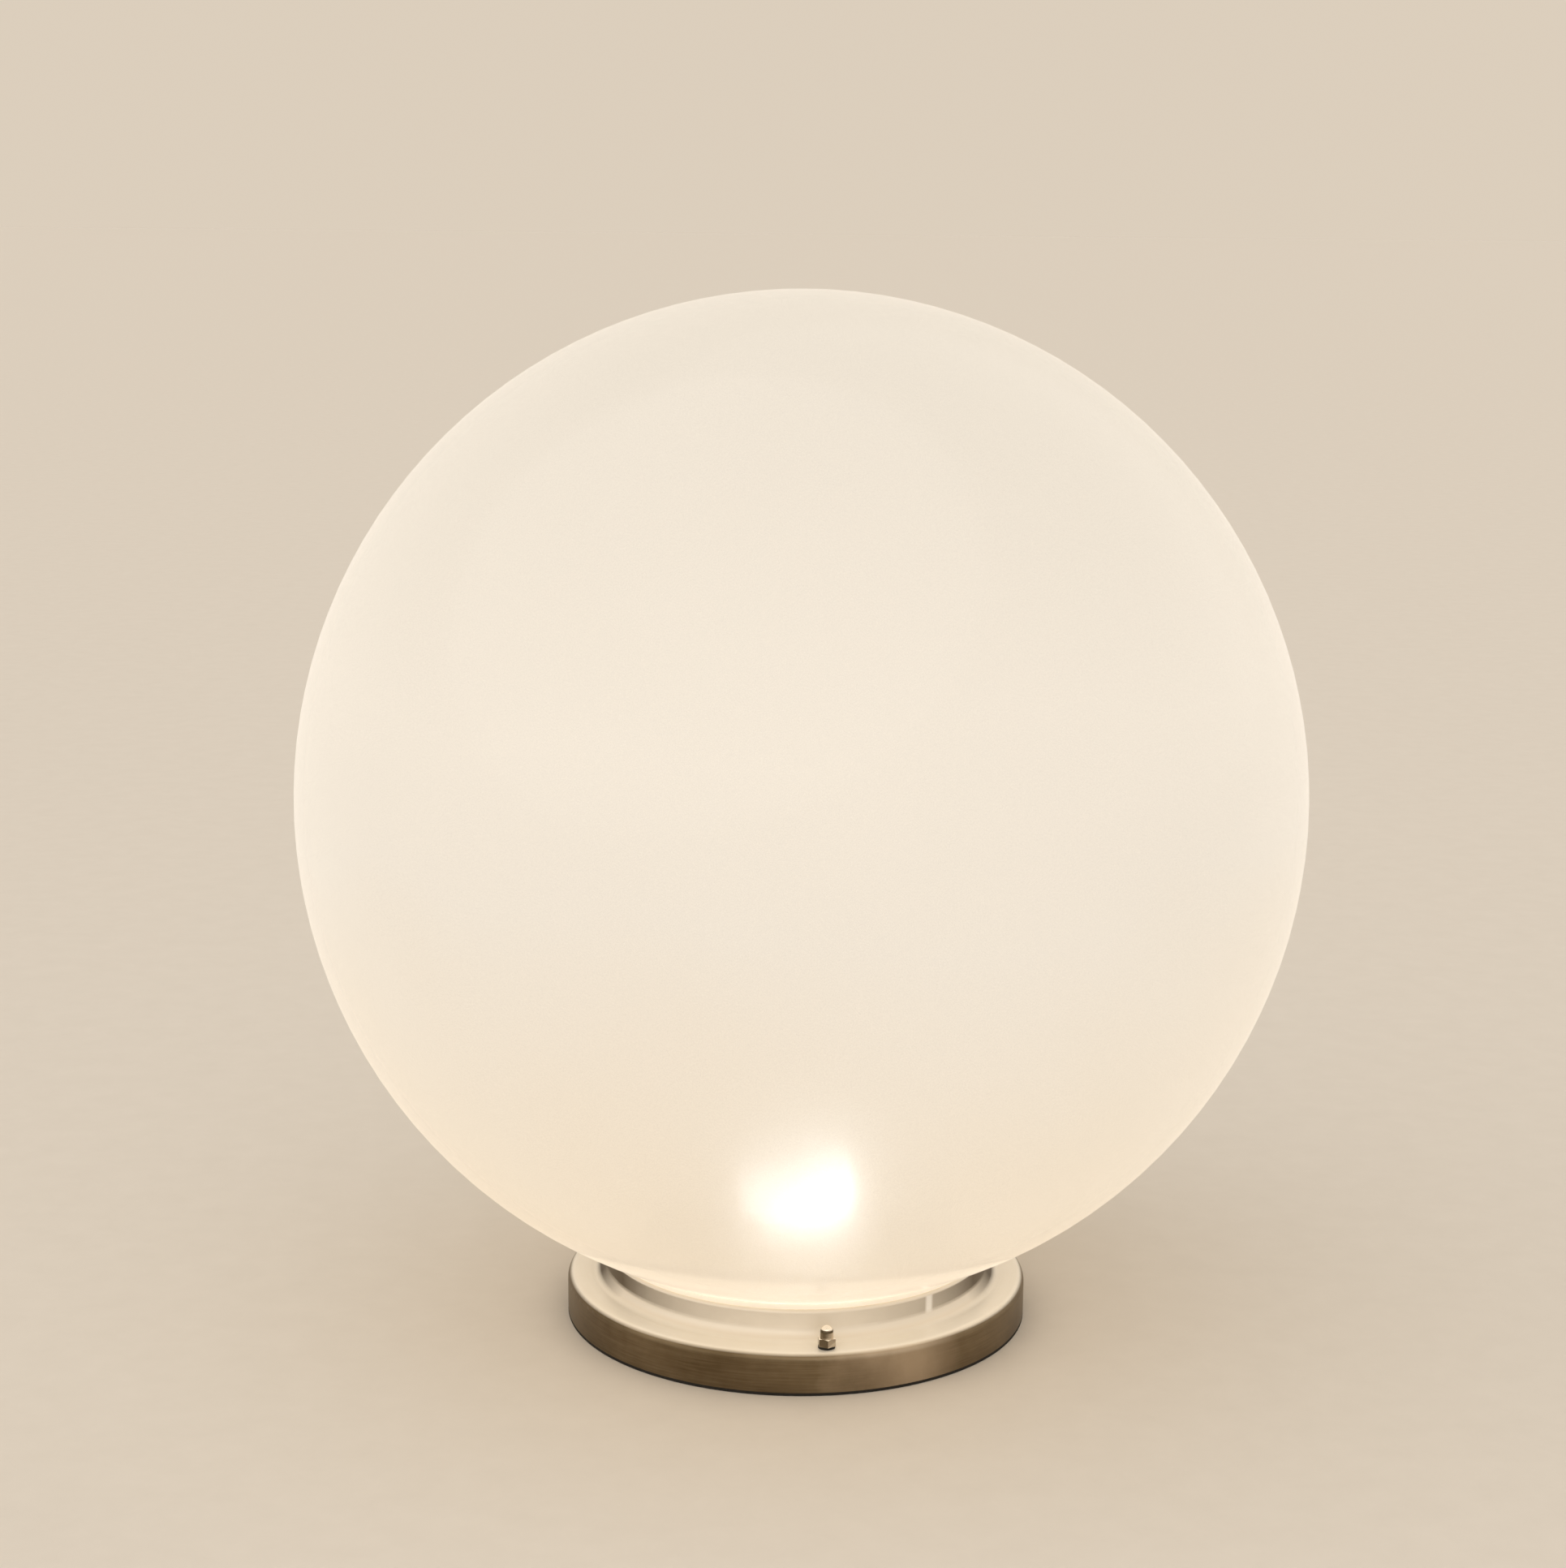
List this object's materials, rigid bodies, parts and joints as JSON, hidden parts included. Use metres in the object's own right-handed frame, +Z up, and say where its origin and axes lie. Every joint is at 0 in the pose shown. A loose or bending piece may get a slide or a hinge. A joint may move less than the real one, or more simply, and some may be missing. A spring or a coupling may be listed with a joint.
{
  "type": "garden globe light",
  "caption": "Round garden light: an opal globe on a low spun steel ring base with cap nuts, holding a screw-in lamp, its lampholder and a ground plate.",
  "frame": {"origin": "centre of the round base, on the ground", "axes": "+Z up through the globe; -Y is the front, where the nut that shows stands a little to the +X side"},
  "size_m": [0.4998, 0.4998, 0.5186],
  "materials": {
    "opal_plastic": "opal, lit from inside",
    "spun_steel": "fine circular brushing",
    "bright_steel": "polished",
    "zinc_steel": "zinc plated",
    "spring_steel": "rolled",
    "black_rubber": "matt",
    "clear_silicone": "translucent",
    "porcelain": "glazed",
    "brass": "plain",
    "nylon": "natural",
    "wire_brown": "insulated wire",
    "wire_blue": "insulated wire",
    "wire_green": "insulated wire, green and yellow",
    "lamp_diffuser": "opal, lit from inside",
    "lamp_white": "moulded",
    "lamp_cap": "nickel plated",
    "lamp_black": "moulded",
    "light_board": "white coated",
    "chip_yellow": "phosphor",
    "board_green": "circuit board",
    "capacitor_black": "sleeved"
  },
  "bodies": {
    "base": {"floor_gasket": "black_rubber", "mounting_plate": "zinc_steel", "stud_bolts": "bright_steel", "spacer_sleeves": "zinc_steel", "base_cover": "spun_steel", "base_collar": "spun_steel", "nut_washers": "black_rubber", "cap_nuts": "bright_steel", "globe_seal": "clear_silicone", "neck_clips": "spring_steel", "clip_rivets": "bright_steel", "lampholder_body": "porcelain", "lampholder_shell": "brass", "lampholder_contact": "brass", "holder_screws": "zinc_steel", "holder_terminals": "brass", "holder_terminal_screws": "zinc_steel", "terminal_block": "nylon", "terminal_inserts": "brass", "terminal_screws": "zinc_steel", "block_screws": "zinc_steel", "live_lead": "wire_brown", "neutral_lead": "wire_blue", "earth_lead": "wire_green", "earth_tag": "brass", "earth_screw": "zinc_steel", "cable_grommet": "black_rubber"},
    "globe": {"globe": "opal_plastic", "globe_neck": "opal_plastic"},
    "lamp_foot": {"bulb_contact": "lamp_cap"},
    "lamp": {"bulb_insulator": "lamp_black", "bulb_cap": "lamp_cap", "bulb_housing": "lamp_white", "bulb_dome": "lamp_diffuser", "led_board": "light_board", "led_chips": "chip_yellow", "driver_board": "board_green", "driver_capacitor": "capacitor_black"}
  },
  "joints": [
    {"name": "globe_lift", "type": "slide", "parent": "base", "child": "globe", "axis": [0, 0, 1], "range_m": [0, 0.1]},
    {"name": "bulb_rise", "type": "slide", "parent": "base", "child": "lamp_foot", "axis": [0, 0, 1], "range_m": [0, 0.0182]},
    {"name": "bulb_turn", "type": "hinge", "parent": "lamp_foot", "child": "lamp", "pos_m": [0, 0, 0.0114], "axis": [0, 0, 1], "range_deg": [0, 1800]}
  ],
  "couplings": [
    {"joint": "bulb_rise", "follows": "bulb_turn", "m_per_rad": 0.00057757}
  ]
}
